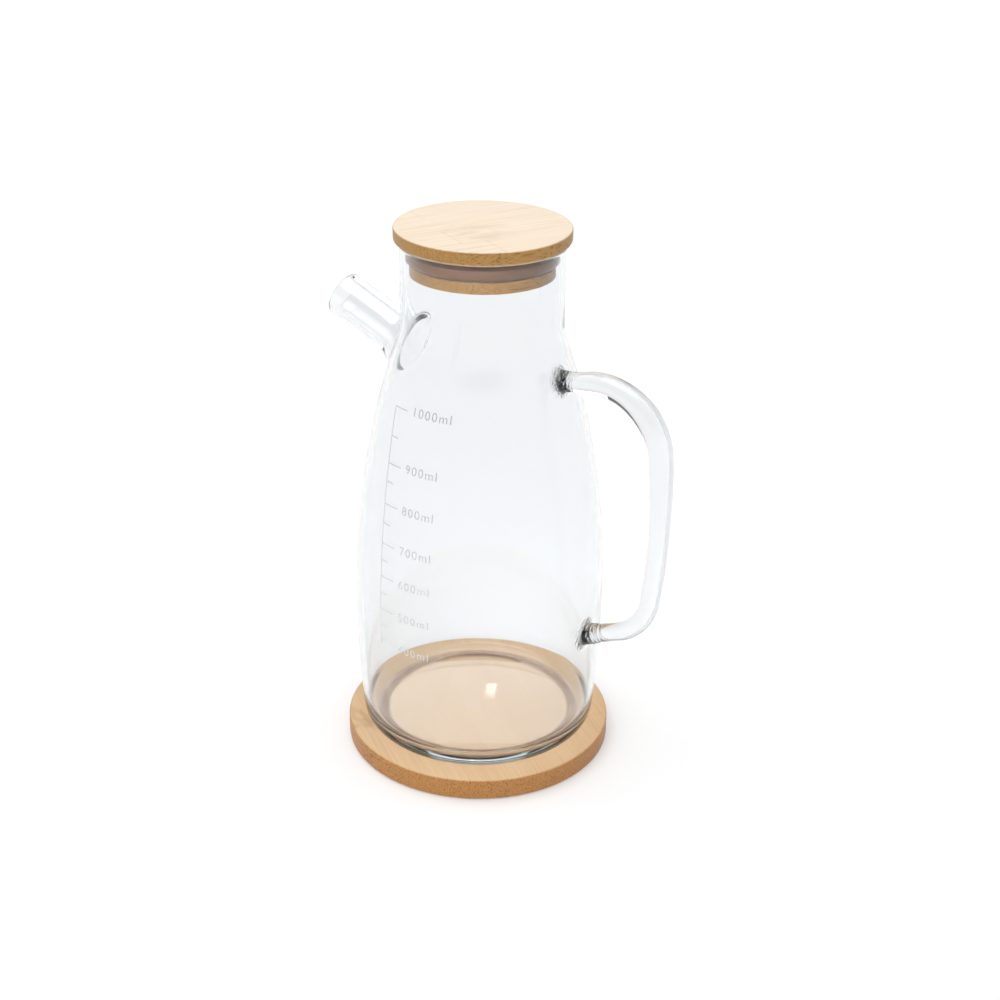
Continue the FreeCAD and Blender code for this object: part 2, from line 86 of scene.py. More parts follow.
camera = bpy.data.objects.new("camera", bpy.data.cameras.new("camera"))
bpy.context.collection.objects.link(camera)
camera.data.lens = 61.99  # mm, on the standard 36 mm sensor
camera.data.clip_end = 20
heading, tilt, roll = math.radians(32.272), math.radians(64.10), 0.0155
turned = (Matrix.Rotation(heading, 4, "Z") @ Matrix.Rotation(tilt, 4, "X")
          @ Matrix.Rotation(roll, 4, "Z"))
camera.matrix_world = Matrix.Translation((0.34726, -0.53473, 0.41940)) @ turned
bpy.context.scene.camera = camera
bpy.context.scene.view_settings.view_transform = "Standard"

world = bpy.data.worlds.new("studio_room")
bpy.context.scene.world = world
world.use_nodes = True
world.node_tree.nodes.clear()
# pale walls as high as a low view sees them, and above those a grey band that only glass mirrors
WALL_TONES = ((0.0, "#FCFCFC"), (0.19, "#F2F3F4"), (0.23, "#505254"), (0.62, "#505254"),
              (0.9, "#E8E8E8"))
direction = add_node(world, "ShaderNodeTexCoord")
upward = add_node(world, "ShaderNodeSeparateXYZ", {0: direction.outputs["Generated"]})
walls = add_node(world, "ShaderNodeValToRGB", {0: upward.outputs["Z"]})
for end, (stop, shade) in zip(walls.color_ramp.elements, (WALL_TONES[0], WALL_TONES[-1])):
    end.position = stop
    end.color = hex_colour(shade)
for stop, shade in WALL_TONES[1:-1]:
    walls.color_ramp.elements.new(stop).color = hex_colour(shade)
room = add_node(world, "ShaderNodeBackground", {"Color": walls.outputs[0], "Strength": 1.0})
ROOM_LIGHT = 0.42
light = add_node(world, "ShaderNodeBackground", {"Color": hex_colour("#FFFFFF"),
                                                 "Strength": ROOM_LIGHT})
room_or_light = add_node(world, "ShaderNodeMixShader", {0: seen_directly(world),
                                                         1: light.outputs[0], 2: room.outputs[0]})
add_node(world, "ShaderNodeOutputWorld", {"Surface": room_or_light.outputs[0]})

SWEEP_SIZE, SWEEP_GLOW = 40.0, 0.18
bpy.ops.mesh.primitive_plane_add(size=SWEEP_SIZE)
floor = bpy.context.object
floor.name = "floor"
sweep = new_material("painted_white_sweep")
paint = add_node(sweep, "ShaderNodeBsdfDiffuse", {"Color": hex_colour("#E8E8E8")})
glow_level = add_node(sweep, "ShaderNodeMath", operation="MULTIPLY",
                      values={0: seen_directly(sweep), 1: SWEEP_GLOW})
glow = add_node(sweep, "ShaderNodeEmission", {"Strength": glow_level.outputs[0]})
lit_paint = add_node(sweep, "ShaderNodeAddShader", {0: paint.outputs[0], 1: glow.outputs[0]})
add_node(sweep, "ShaderNodeOutputMaterial", {"Surface": lit_paint.outputs[0]})
floor.data.materials.append(sweep)


def add_lamp(kind, name, place, aim, power):
    """A lamp at a place in metres, turned to face a point."""
    lamp = bpy.data.objects.new(name, bpy.data.lights.new(name, kind))
    bpy.context.collection.objects.link(lamp)
    lamp.data.energy = power
    lamp.location = place
    lamp.rotation_mode = "QUATERNION"
    lamp.rotation_quaternion = (Vector(place) - Vector(aim)).to_track_quat("Z", "Y")
    return lamp


silk = add_lamp("SUN", "overhead_silk", (-0.12, -0.05, 1.0), (0, 0, 0), 1.75)
silk.data.angle = math.radians(60)
# the fill only lights: left out of gloss and of traced rays, it leaves no bright patch in the glass
fill = add_lamp("SUN", "front_fill", (0.30, -0.86, 0.34), (0, 0, 0), 0.9)
fill.data.angle = math.radians(50)
fill.visible_glossy = False
fill.data.cycles.use_multiple_importance_sampling = False
window = add_lamp("AREA", "back_window", (-0.76, 1.17, 0.85), (0, 0, 0), 4.1)
pane = add_lamp("AREA", "bare_pane", (-0.72, 1.19, 0.82), (0, 0, 0.01), 0.03)
for lamp, width, height in ((window, 0.9, 0.7), (pane, 0.035, 0.09)):
    lamp.data.shape, lamp.data.size, lamp.data.size_y = "RECTANGLE", width, height
    lamp.visible_camera = lamp.visible_diffuse = False
# enough bounces for light to cross all the layers of glass
bpy.context.scene.cycles.max_bounces = 24
bpy.context.scene.cycles.glossy_bounces = 16
bpy.context.scene.cycles.transmission_bounces = 24

# ---------------------------------------------------------------------------------------------
# Coaster: a disc turned from glued bamboo strips, sanded, with eased edges.  The jug stands on it.
# ---------------------------------------------------------------------------------------------
COASTER_RADIUS, COASTER_HEIGHT, COASTER_EASE, COASTER_UNDER_EASE = 56.0, 9.5, 0.9, 1.5
# the share of a mark's reach over which it keeps its full strength
MARK_CORE = 0.4


def deselect_all():
    if bpy.context.object and bpy.context.object.mode != "OBJECT":
        bpy.ops.object.mode_set(mode="OBJECT")
    bpy.ops.object.select_all(action="DESELECT")


def make_active(piece):
    deselect_all()
    piece.select_set(True)
    bpy.context.view_layer.objects.active = piece


def finish_piece(piece, name, material, slot, *stands_for):
    """Put the piece's place into its mesh, dress it and let it ride on the jug's one body."""
    make_active(piece)
    bpy.ops.object.transform_apply(location=True, rotation=True, scale=True)
    piece.name = piece.data.name = name
    piece.data.materials.clear()
    piece.data.materials.append(material)
    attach(piece, "root")
    if stands_for:
        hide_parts(*stands_for)


def turned_disc(radius, bottom, height, ease, lower_ease):
    """A disc with its two edges eased, as it comes off the lathe; sizes in mm."""
    deselect_all()
    bpy.ops.mesh.primitive_cylinder_add(vertices=192, radius=radius * MM, depth=height * MM,
                                        location=(0, 0, (bottom + height / 2) * MM))
    disc = bpy.context.object
    bpy.ops.object.mode_set(mode="EDIT")
    bpy.ops.mesh.select_mode(type="FACE")
    for side, offset in ((1, ease), (-1, lower_ease)):
        bpy.ops.mesh.select_all(action="DESELECT")
        mesh = bmesh.from_edit_mesh(disc.data)
        for face in mesh.faces:
            face.select_set(face.normal.z * side > 0.99)
        bmesh.update_edit_mesh(disc.data)
        bpy.ops.mesh.bevel(offset=offset * MM, segments=5, affect="EDGES")
    bpy.ops.object.mode_set(mode="OBJECT")
    bpy.ops.object.shade_smooth_by_angle(angle=math.radians(40))
    return disc


def bamboo(name, pale, honey, end_grain_and_side_shade, heading, strip, smudge, ring=None):
    """Sanded laminated bamboo: strips that differ a little in tone, fine fibres that all run to the
    heading, a darker line where a strip has a node, and on the edge the dots of the fibres' ends.
    The smudge (x, y, radius, strength) is where use has marked it, and the ring (radius, half width,
    strength) is a painted shadow: a darker band where the jug's glass heel would shade the wood;
    both in mm."""
    material = new_material(name)

    def number(operation, *values):
        return add_node(material, "ShaderNodeMath", dict(enumerate(values)),
                        operation=operation).outputs[0]

    def spread(value, low, high, first, last):
        return add_node(material, "ShaderNodeMapRange",
                        {"Value": value, "From Min": low, "From Max": high,
                         "To Min": first, "To Max": last}).outputs[0]

    def blend(share, first, second, **settings):
        return add_node(material, "ShaderNodeMix", {0: share, 6: first, 7: second},
                        data_type="RGBA", **settings).outputs[2]

    def noise(vector, stretch, detail):
        drawn = add_node(material, "ShaderNodeMapping", {"Vector": vector, "Scale": stretch})
        return add_node(material, "ShaderNodeTexNoise", {"Vector": drawn.outputs[0], "Scale": 1.0,
                                                         "Detail": detail}).outputs[0]

    place = add_node(material, "ShaderNodeTexCoord")
    along = add_node(material, "ShaderNodeMapping",
                     {"Vector": place.outputs["Object"],
                      "Rotation": (0, 0, -math.radians(heading))}).outputs[0]
    split = add_node(material, "ShaderNodeSeparateXYZ", {0: along})
    across = number("DIVIDE", split.outputs["Y"], strip * MM)
    tone = add_node(material, "ShaderNodeTexWhiteNoise", {"W": number("FLOOR", across)},
                    noise_dimensions="1D").outputs["Value"]
    # broad figure, 6 mm across and 120 mm long, with the strips' own tones
    figure = noise(along, (8, 160, 160), 2.0)
    face = blend(number("ADD", number("MULTIPLY", tone, 0.3), number("MULTIPLY", figure, 0.7)),
                 hex_colour(pale), hex_colour(honey))
    # one node in each 110 mm of a strip, 0.7 mm wide
    from_node = number("PINGPONG", number("ADD", split.outputs["X"],
                                          number("MULTIPLY", tone, 0.11)), 0.055)
    node_line = spread(from_node, 0.0003, 0.0009, 0.10, 0.0)
    seam = spread(number("PINGPONG", across, 0.5), 0.0, 0.02, 0.08, 0.0)
    face = blend(number("MAXIMUM", node_line, seam), face, hex_colour("#B4834B"))
    # stains soak in along the fibres: soft patches 5 mm across and 10 mm long
    spots = spread(noise(along, (100, 200, 200), 4.0), 0.40, 0.66, 0.0, 1.0)
    flat = add_node(material, "ShaderNodeVectorMath", operation="MULTIPLY",
                    values={0: place.outputs["Object"], 1: (1, 1, 0)}).outputs[0]
    x, y, radius, strength = smudge
    reach = add_node(material, "ShaderNodeVectorMath", operation="DISTANCE",
                     values={0: flat, 1: (x * MM, y * MM, 0)}).outputs["Value"]
    near = spread(reach, radius * MARK_CORE * MM, radius * MM, strength, 0.0)
    face = blend(number("MULTIPLY", near, spots), face, hex_colour("#94602E"))
    # painted shadow: a darker band where the jug's glass heel would shade the wood; the jug casts
    # none
    if ring:
        radius, half_width, strength = ring
        out = add_node(material, "ShaderNodeVectorMath", operation="LENGTH",
                       values={0: flat}).outputs["Value"]
        off_shadow_band = number("ABSOLUTE", number("SUBTRACT", out, radius * MM))
        heel_shadow = spread(off_shadow_band, half_width * MARK_CORE * MM, half_width * MM, strength, 0.0)
        face = blend(number("MULTIPLY", heel_shadow, spread(figure, 0.3, 0.6, 0.6, 1.0)),
                     face, hex_colour("#8A5A30"))
    # the edge is darker, because end grain soaks up the oil, and its colour also holds painted shade
    # for sides that face away from the light from above
    normal = add_node(material, "ShaderNodeNewGeometry")
    lift = add_node(material, "ShaderNodeSeparateXYZ", {0: normal.outputs["Normal"]})
    edge = spread(number("ABSOLUTE", lift.outputs["Z"]), 0.35, 0.9, 1.0, 0.0)
    body = blend(edge, face, hex_colour(end_grain_and_side_shade))
    # fibres 0.5 mm across and 40 mm long, which the edge shows as dots
    fibres = noise(along, (25, 2000, 2000), 2.0)
    dots = number("MULTIPLY", spread(fibres, 0.50, 0.70, 0.0, 0.7),
                  number("ADD", number("MULTIPLY", edge, 0.75), 0.25))
    colour = blend(dots, body, hex_colour("#7A5430"), blend_type="MULTIPLY")
    bump = add_node(material, "ShaderNodeBump", {"Height": fibres, "Strength": 0.25,
                                                 "Distance": 0.0002})
    skin = add_node(material, "ShaderNodeBsdfPrincipled",
                    {"Base Color": colour, "Roughness": 0.45, "IOR": 1.45,
                     "Normal": bump.outputs[0]})
    add_node(material, "ShaderNodeOutputMaterial", {"Surface": skin.outputs[0]})
    return material


coaster = turned_disc(COASTER_RADIUS, 0.0, COASTER_HEIGHT, COASTER_EASE, COASTER_UNDER_EASE)
# its third colour, for the side, is end grain darkened further by painted shade
# the last three numbers are a painted shadow, a band 41.5 mm out under the jug's glass heel
coaster_bamboo = bamboo("oiled_bamboo_coaster", "#E1C094", "#D4A977", "#C0884C", -37, 14.0,
                        (-37, -38, 13, 0.45), (41.5, 4.0, 0.9))
finish_piece(coaster, "coaster_disc", coaster_bamboo, "bamboo", "coaster")

# ---------------------------------------------------------------------------------------------
# Jug: borosilicate glass, blown in a turning mould, 2.2 mm thick with a heavier base.  The wall
# is one closed skin, outside and inside, and is laid out as a cage that a subdivision smooths.
# ---------------------------------------------------------------------------------------------
FOOT = COASTER_HEIGHT
JUG_HEIGHT, NECK_RADIUS, WALL = 211.0, 32.3, 2.2
BELLY_RADIUS, BELLY_HEIGHT, FLANK_ARC, SHOULDER_ARC = 51.8, 59.6, 570.0, 352.0
NECK_ARC, NECK_ARC_HEIGHT, SHOULDER_TOP = 25.0, 179.27, 171.34
WALL_SIDES = 48


def cage(sides):
    """How much wider a ring of the cage is than the circle that it smooths to."""
    return 3 / (2 + math.cos(2 * math.pi / sides))


def wall_radius(height, inset=0.0):
    """Radius of the blown wall at a height over the foot; the inset moves it in through the glass."""
    rise = height - BELLY_HEIGHT
    if height > NECK_ARC_HEIGHT:
        return NECK_RADIUS - inset
    if height > SHOULDER_TOP:
        bend = NECK_ARC + inset
        return NECK_RADIUS + NECK_ARC - math.sqrt(bend ** 2 - (height - NECK_ARC_HEIGHT) ** 2)
    arc = FLANK_ARC if rise < 0 else SHOULDER_ARC
    return BELLY_RADIUS - arc + math.sqrt((arc - inset) ** 2 - rise ** 2)


def bend_points(centre_x, centre_z, radius, first, last, steps):
    """Points on an arc, between two angles in degrees, both ends included."""
    angles = [math.radians(first + (last - first) * i / steps) for i in range(steps + 1)]
    return [(centre_x + radius * math.cos(a), centre_z + radius * math.sin(a)) for a in angles]


SPOUT_ROOT = (-36.3, 162.7)
ROD_UPPER_ROOT, ROD_LOWER_ROOT = 161.1, 53.4
# heights of the cage's rings over the foot, with one at the middle of each root
LEVELS = [12.0, 18.5, 25.0, 31.5, 37.5, 43.0, 48.2, 53.4, 58.6, 64.0, 70.0, 76.5, 83.0, 89.5, 96.0,
          102.5, 109.0, 115.5, 122.0, 128.5, 135.0, 141.0, 146.5, 151.9, 157.3, 162.7, 168.1, 173.5,
          177.0, 181.0, 187.0, 194.0, 201.0, 206.0]
# radius and height in mm: from the pushed-up base out under the foot and up the outside, round the
# fire-polished rim, and down the inside to the middle of the floor
outside = [(0, 1.6), (8, 1.52), (16, 1.28), (24, 0.89), (31, 0.42), (36, 0.06), (39.5, -0.02)]
outside += bend_points(42.337, 7.0, 7.15, -84, -5.36, 4)
outside += [(wall_radius(level), level) for level in LEVELS]
rim = [(32.3, 208.8), (32.3, 210.2), (31.85, 211.0), (30.55, 211.0), (30.1, 210.2), (30.1, 208.8)]
inside = [(wall_radius(level, WALL), level) for level in reversed(LEVELS[1:])]
inside += bend_points(39.572, 12.0, 8.15, -4.9, -84, 4)
inside += [(36.5, 4.0), (30, 4.5), (22, 5.0), (14, 5.35), (7, 5.54), (0, 5.6)]

deselect_all()
bpy.ops.mesh.primitive_plane_add(size=MM)
jug = bpy.context.object
bpy.ops.object.mode_set(mode="EDIT")
bpy.ops.mesh.select_mode(type="VERT")
bpy.ops.mesh.select_all(action="SELECT")
bpy.ops.mesh.merge(type="CENTER")
outline = [(x * cage(WALL_SIDES), z + FOOT) for x, z in outside + rim + inside]
here = (0.0, 0.0)
for x, z in outline:
    step = ((x - here[0]) * MM, 0, (z - here[1]) * MM)
    if here == (0.0, 0.0):
        bpy.ops.transform.translate(value=step)
    else:
        bpy.ops.mesh.extrude_region_move(TRANSFORM_OT_translate={"value": step})
    here = (x, z)
bpy.ops.mesh.select_all(action="SELECT")
bpy.ops.mesh.spin(steps=WALL_SIDES, angle=2 * math.pi, center=(0, 0, 0), axis=(0, 0, 1))
bpy.ops.mesh.select_all(action="SELECT")
bpy.ops.mesh.remove_doubles(threshold=0.01 * MM)
bpy.ops.mesh.normals_make_consistent(inside=False)


# a hole melted open by hand is out of round by 7 %, in three lobes
HOLE_LOBES, HOLE_UNEVEN = 3, 0.07
# the most, in mm, that a face of the hole may lie nearer to or farther from the axis than its middle
HOLE_REACH = 12


def open_wall(azimuth, height, cells, radii, inset, lip):
    """Cut a round hole in one side of the wall: drop a square of faces, round its border, and carry
    it on along the wall to the last radius, where a lip stands up, so that the weld stays crisp."""
    half_turn = math.pi / WALL_SIDES * cells
    index = min(range(len(LEVELS)), key=lambda i: abs(LEVELS[i] - height))
    low, high = LEVELS[index - cells // 2], LEVELS[index + cells // 2]
    middle = wall_radius(height, WALL / 2)

    def aside(point):
        return (math.atan2(point.y, point.x) - azimuth + math.pi) % (2 * math.pi) - math.pi

    def in_hole(face):
        centre = face.calc_center_median()
        level, ring = centre.z / MM - FOOT, math.hypot(centre.x, centre.y) / MM
        if not low < level < high or abs(aside(centre)) >= half_turn:
            return False
        on_outside = ring > wall_radius(level, WALL / 2)
        return on_outside == (inset == 0) and abs(ring - middle) < HOLE_REACH

    bpy.ops.mesh.select_mode(type="EDGE")
    bpy.ops.mesh.select_all(action="DESELECT")
    mesh = bmesh.from_edit_mesh(jug.data)
    hole = [face for face in mesh.faces if in_hole(face)]
    border = {vert for face in hole for vert in face.verts
              if any(other not in hole for other in vert.link_faces)}
    bmesh.ops.delete(mesh, geom=hole, context="FACES")
    for edge in mesh.edges:
        edge.select_set(edge.is_boundary and edge.verts[0] in border and edge.verts[1] in border)
    for radius in radii:
        for vert in {vert for edge in mesh.edges if edge.select for vert in edge.verts}:
            across, up = aside(vert.co) * middle, vert.co.z / MM - FOOT - height
            lobes = math.sin(HOLE_LOBES * math.atan2(up, across) + 1)
            stretch = radius * (1 + HOLE_UNEVEN * lobes) / math.hypot(across, up)
            level = height + up * stretch
            lift = lip if radius == radii[-1] else 0.0
            ring = (wall_radius(level, inset) + lift) * cage(WALL_SIDES)
            angle = azimuth + across * stretch / ring
            vert.co = Vector((ring * math.cos(angle), ring * math.sin(angle), level + FOOT)) * MM
        bmesh.update_edit_mesh(jug.data)
        if radius != radii[-1]:
            bpy.ops.mesh.extrude_edges_move(TRANSFORM_OT_translate={"value": (0, 0, 0)})
            mesh = bmesh.from_edit_mesh(jug.data)


def weld(chosen):
    """Close the two open borders whose points pass the test with one band of faces."""
    bpy.ops.mesh.select_mode(type="EDGE")
    bpy.ops.mesh.select_all(action="DESELECT")
    mesh = bmesh.from_edit_mesh(jug.data)
    for edge in mesh.edges:
        edge.select_set(edge.is_boundary and all(chosen(vert.co / MM) for vert in edge.verts))
    bmesh.update_edit_mesh(jug.data)
    bpy.ops.mesh.bridge_edge_loops()


# ---------------------------------------------------------------------------------------------
# Spout: a short straight glass tube, welded into a hole in the shoulder, its mouth fire-polished.
# ---------------------------------------------------------------------------------------------
SPOUT_RADIUS, SPOUT_BORE = 9.2, 7.1
SPOUT_RISE = math.radians(23.5)
SPOUT_SIDES = 16
# the holes in the wall's outside and inside, from their cut edge to their lip; the inner is lower
OUTER_HOLE, INNER_HOLE, INNER_HOLE_DROP = (13.6, 12.2), (11.6, 10.6), 0.9
OUTER_LIP, INNER_LIP = 0.35, -0.5
# every open border that is farther than this from the axis belongs to the outer weld
OUTER_WELD_REACH = 9.8
spout_along = Vector((-math.cos(SPOUT_RISE), 0, math.sin(SPOUT_RISE)))
spout_start = Vector((SPOUT_ROOT[0], 0, SPOUT_ROOT[1] + FOOT))
# distance along the axis and radius: out along the tube, round its lip and back in along the bore
stations = [(2.2, 11.2), (4.5, 9.6), (8.0, SPOUT_RADIUS), (12.0, SPOUT_RADIUS), (18.0, SPOUT_RADIUS),
            (25.0, SPOUT_RADIUS), (31.0, SPOUT_RADIUS), (33.6, SPOUT_RADIUS), (34.5, 9.1),
            (34.95, 8.6), (34.95, 7.7), (34.5, 7.2), (33.6, SPOUT_BORE), (31.0, SPOUT_BORE),
            (25.0, SPOUT_BORE), (18.0, SPOUT_BORE), (12.0, SPOUT_BORE), (8.0, SPOUT_BORE),
            (4.0, 7.7), (1.8, 9.4)]
open_wall(math.pi, SPOUT_ROOT[1], 4, OUTER_HOLE, 0.0, OUTER_LIP)
deselect_all()
first_reach, first_radius = stations[0]
turn = spout_along.to_track_quat("Z", "Y").to_euler()
bpy.ops.mesh.primitive_circle_add(vertices=SPOUT_SIDES, radius=first_radius * cage(SPOUT_SIDES) * MM,
                                  location=(spout_start + spout_along * first_reach) * MM,
                                  rotation=turn)
spout = bpy.context.object
bpy.ops.object.mode_set(mode="EDIT")
bpy.ops.mesh.select_all(action="SELECT")
for (reach, radius), (next_reach, next_radius) in zip(stations, stations[1:]):
    step = spout_along * (next_reach - reach) * MM
    centre = (spout_start + spout_along * next_reach) * MM
    ratio = next_radius / radius
    bpy.ops.mesh.extrude_edges_move(TRANSFORM_OT_translate={"value": step})
    bpy.ops.transform.resize(value=(ratio,) * 3, center_override=centre)
bpy.ops.object.mode_set(mode="OBJECT")


def join_to_jug(piece):
    deselect_all()
    piece.select_set(True)
    jug.select_set(True)
    bpy.context.view_layer.objects.active = jug
    bpy.ops.object.join()
    bpy.ops.object.mode_set(mode="EDIT")


def off_spout(point):
    """Distance from the spout's axis."""
    arm = point - spout_start
    return (arm - spout_along * arm.dot(spout_along)).length


join_to_jug(spout)
weld(lambda point: off_spout(point) > OUTER_WELD_REACH)
open_wall(math.pi, SPOUT_ROOT[1] - INNER_HOLE_DROP, 4, INNER_HOLE, WALL, INNER_LIP)
weld(lambda point: True)

# ---------------------------------------------------------------------------------------------
# Handle: a solid glass rod, bent hot over the hand's width and welded to shoulder and belly.  It
# is thickest on the upper bend, and each end flares a little where it melted into the wall.
# ---------------------------------------------------------------------------------------------
ROD_SIDES = 8
ROD_HOLE, ROD_LIP = (6.2, 5.0), 0.4
# half thickness where the rod is pressed on the shoulder, and its distance from the upper bend
ROD_FOOT, ROD_FOOT_BACK = 4.4, 11.6
# a level between the two roots, in mm
MID_HANDLE = 110
UPPER_BEND, GRIP_BEND, LOWER_BEND = (54.7, 137.0, 27.0), (-217.41, 115.0, 300.0), (58.35, 79.8, 22.0)
UPPER_START, UPPER_END, LOWER_START, LOWER_END = 100.0, 4.622, -7.273, -68.0


def rod_point(bend, angle):
    """Point of the rod's centre line, at an angle in degrees on one bend."""
    x, z, radius = bend
    return Vector((x + radius * math.cos(math.radians(angle)), 0,
                   z + FOOT + radius * math.sin(math.radians(angle))))


UPPER_SLOPE, LOWER_SLOPE = math.radians(10), math.radians(22)
upper_out = Vector((math.cos(UPPER_SLOPE), 0, math.sin(UPPER_SLOPE)))
lower_in = Vector((-math.cos(LOWER_SLOPE), 0, -math.sin(LOWER_SLOPE)))
upper_end = rod_point(UPPER_BEND, UPPER_START)
lower_end = rod_point(LOWER_BEND, LOWER_END)
for root in (ROD_UPPER_ROOT, ROD_LOWER_ROOT):
    open_wall(0.0, root, 2, ROD_HOLE, 0.0, ROD_LIP)
deselect_all()
bpy.ops.mesh.primitive_circle_add(vertices=ROD_SIDES, radius=ROD_FOOT * cage(ROD_SIDES) * MM,
                                  location=(upper_end - upper_out * ROD_FOOT_BACK) * MM,
                                  rotation=upper_out.to_track_quat("Z", "Y").to_euler())
rod = bpy.context.object
bpy.ops.object.mode_set(mode="EDIT")
bpy.ops.mesh.select_all(action="SELECT")
thickness = ROD_FOOT


def carry_on(step, end, new_thickness):
    """Draw the rod's open end on by one straight step, and bring it to a new half thickness."""
    global thickness
    bpy.ops.mesh.extrude_edges_move(TRANSFORM_OT_translate={"value": step * MM})
    bpy.ops.transform.resize(value=(new_thickness / thickness,) * 3, center_override=end * MM)
    thickness = new_thickness


def bend_on(bend, first, last, steps, new_thickness):
    """Bend the rod's open end on round a centre, growing or thinning it evenly."""
    global thickness
    start = thickness
    centre = Vector((bend[0], 0, bend[1] + FOOT)) * MM
    for part in range(1, steps + 1):
        bpy.ops.mesh.spin(steps=1, angle=math.radians(first - last) / steps, center=centre,
                          axis=(0, -1, 0))
        now = start + (new_thickness - start) * part / steps
        end = rod_point(bend, first + (last - first) * part / steps)
        bpy.ops.transform.resize(value=(now / thickness,) * 3, center_override=end * MM)
        thickness = now


# each root is drawn in uneven rings, where the soft glass was pushed together
for step, back, half in ((0.8, 10.8, 4.0), (0.9, 9.9, 4.35), (1.1, 8.8, 3.75), (4.5, 4.3, 4.1)):
    carry_on(upper_out * step, upper_end - upper_out * back, half)
carry_on(upper_out * 4.3, upper_end, 4.4)
bend_on(UPPER_BEND, UPPER_START, 45.0, 7, 5.1)
bend_on(UPPER_BEND, 45.0, UPPER_END, 5, 4.8)
bend_on(GRIP_BEND, UPPER_END, (UPPER_END + LOWER_START) / 2, 4, 4.13)
bend_on(GRIP_BEND, (UPPER_END + LOWER_START) / 2, LOWER_START, 4, 4.0)
bend_on(LOWER_BEND, LOWER_START, -37.6, 4, 3.9)
bend_on(LOWER_BEND, -37.6, LOWER_END, 4, 3.8)
carry_on(lower_in * 4.5, lower_end + lower_in * 4.5, 3.7)
carry_on(lower_in * 4.5, lower_end + lower_in * 9.0, 3.7)
for step, on, half in ((1.0, 10.0, 4.3), (0.9, 10.9, 3.9), (0.8, 11.7, 4.4), (0.7, 12.4, 4.3)):
    carry_on(lower_in * step, lower_end + lower_in * on, half)
bpy.ops.object.mode_set(mode="OBJECT")

join_to_jug(rod)
weld(lambda point: point.z > MID_HANDLE)
weld(lambda point: True)
bpy.ops.mesh.select_all(action="SELECT")
bpy.ops.mesh.normals_make_consistent(inside=False)
bpy.ops.object.mode_set(mode="OBJECT")
smooth = jug.modifiers.new("smooth", "SUBSURF")
smooth.levels = smooth.render_levels = 2
bpy.ops.object.modifier_apply(modifier="smooth")
bpy.ops.object.shade_smooth()

# clear glass with the faint waves of blowing, 30 mm across, which bend what is seen through it
glass = new_material("blown_borosilicate_glass")
spot = add_node(glass, "ShaderNodeTexCoord")
ripple = add_node(glass, "ShaderNodeTexNoise", {"Vector": spot.outputs["Object"], "Scale": 35.0,
                                                "Detail": 1.0})
waves = add_node(glass, "ShaderNodeBump", {"Height": ripple.outputs[0], "Strength": 0.1,
                                           "Distance": 0.001})
# at the two roots of the rod the glass was stirred: swirls 2 mm across that end 7.5 mm out
weld_reach = [add_node(glass, "ShaderNodeVectorMath", operation="DISTANCE",
                       values={0: spot.outputs["Object"],
                               1: (wall_radius(root) * MM, 0, (root + FOOT) * MM)}).outputs["Value"]
              for root in (ROD_UPPER_ROOT, ROD_LOWER_ROOT)]
to_weld = add_node(glass, "ShaderNodeMath", {0: weld_reach[0], 1: weld_reach[1]},
                   operation="MINIMUM")
churned = add_node(glass, "ShaderNodeMapRange",
                   {"Value": to_weld.outputs[0], "From Min": 0.0045, "From Max": 0.0075,
                    "To Min": 1.0, "To Max": 0.0})
swirl = add_node(glass, "ShaderNodeTexNoise", {"Vector": spot.outputs["Object"], "Scale": 450.0,
                                               "Detail": 1.0, "Distortion": 1.5})
knot_height = add_node(glass, "ShaderNodeMath", {0: swirl.outputs[0], 1: churned.outputs[0]},
                       operation="MULTIPLY")
knots = add_node(glass, "ShaderNodeBump", {"Height": knot_height.outputs[0], "Strength": 0.6,
                                           "Distance": 0.001, "Normal": waves.outputs[0]})
clear = add_node(glass, "ShaderNodeBsdfPrincipled", {"Base Color": hex_colour("#F8F9FA"),
                                                     "Roughness": 0.0, "IOR": 1.473,
                                                     "Transmission Weight": 1.0,
                                                     "Normal": knots.outputs[0]})
# thick glass looks greyer than the wall
depth = add_node(glass, "ShaderNodeVolumeAbsorption", {"Color": hex_colour("#D8DEE0"),
                                                       "Density": 30.0})
add_node(glass, "ShaderNodeOutputMaterial", {"Surface": clear.outputs[0],
                                             "Volume": depth.outputs[0]})
finish_piece(jug, "jug_glass", glass, "glass", "jug")
jug.visible_shadow = False

# ---------------------------------------------------------------------------------------------
# Scale: fine pale grey enamel, screen-printed on the outside of the glass and fired on.
# ---------------------------------------------------------------------------------------------
SCALE_AZIMUTH = math.radians(273)
MARKS = {1000: 151.3, 950: 139.9, 900: 129.3, 850: 122.0, 800: 112.9, 750: 104.9, 700: 96.5,
         650: 89.4, 600: 82.3, 550: 75.1, 500: 67.9, 450: 60.5, 400: 53.5}
# sizes in mm: printed lines, numbers, the film and the gap under it
LINE_WIDTH, SCALE_LINE, LONG_MARK, SHORT_MARK = 0.3, -18.0, 7.5, 4.0
NUMBER_SIZE, NUMBER_LEFT, NUMBER_DROP, NUMBER_SLIDE = 5.1, -8.1, 1.1, 0.002
FILM, FILM_GAP = 0.05, 0.04
